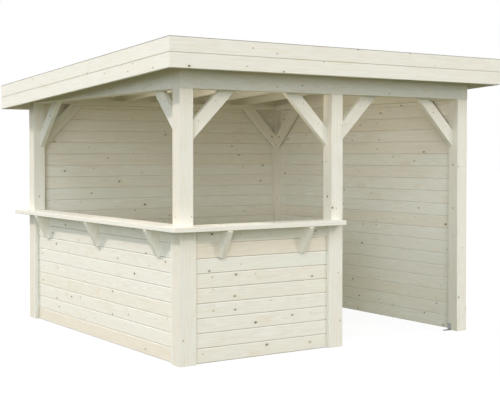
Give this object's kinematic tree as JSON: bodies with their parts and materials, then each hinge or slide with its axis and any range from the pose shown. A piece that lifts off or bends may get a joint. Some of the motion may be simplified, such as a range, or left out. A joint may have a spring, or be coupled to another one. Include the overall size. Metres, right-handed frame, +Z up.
{
  "type": "wooden gazebo",
  "caption": "Square timber gazebo with a flat lean-to roof, boarded back and right walls, half walls with a bar counter round one corner and an open doorway.",
  "frame": {"origin": "on the ground under the middle of the roof", "axes": "+X to the right and +Y to the back as seen from the open front, +Z up"},
  "size_m": [3.5, 3.45, 2.5203],
  "materials": {
    "posts": "planed laminated spruce, untreated",
    "beams": "planed spruce, untreated",
    "rafters": "planed spruce, untreated",
    "roof_boards": "tongued and grooved spruce, untreated",
    "roof_covering": "matt sheet",
    "fascia_boards": "planed spruce, untreated",
    "wall_boards": "tongued and grooved spruce, untreated",
    "battens": "planed spruce, untreated",
    "braces": "planed spruce, untreated",
    "counter": "planed spruce, untreated",
    "brackets": "planed spruce, untreated",
    "anchor_steel": "galvanised"
  },
  "bodies": {
    "root": {"post_front_left": "posts", "post_front_middle": "posts", "post_front_right": "posts", "post_back_left": "posts", "post_back_right": "posts", "beam_front": "beams", "beam_back": "beams", "beam_left": "beams", "beam_right": "beams", "rafter_1": "rafters", "rafter_2": "rafters", "rafter_3": "rafters", "rafter_4": "rafters", "rafter_5": "rafters", "rafter_6": "rafters", "rafter_7": "rafters", "rim_boards": "rafters", "roof_boards": "roof_boards", "roof_covering": "roof_covering", "fascia_front_lower": "fascia_boards", "fascia_front_upper": "fascia_boards", "fascia_back_lower": "fascia_boards", "fascia_back_upper": "fascia_boards", "fascia_left_lower": "fascia_boards", "fascia_left_upper": "fascia_boards", "fascia_right_lower": "fascia_boards", "fascia_right_upper": "fascia_boards", "wall_front": "wall_boards", "wall_left": "wall_boards", "wall_back": "wall_boards", "wall_right": "wall_boards", "battens_front": "battens", "battens_left": "battens", "battens_back": "battens", "battens_right": "battens", "braces_front_left": "braces", "braces_front_middle": "braces", "braces_front_right": "braces", "braces_back_left": "braces", "braces_back_right": "braces", "counter_front": "counter", "counter_left": "counter", "brackets_front": "brackets", "brackets_left": "brackets", "anchors": "anchor_steel"}
  },
  "joints": []
}
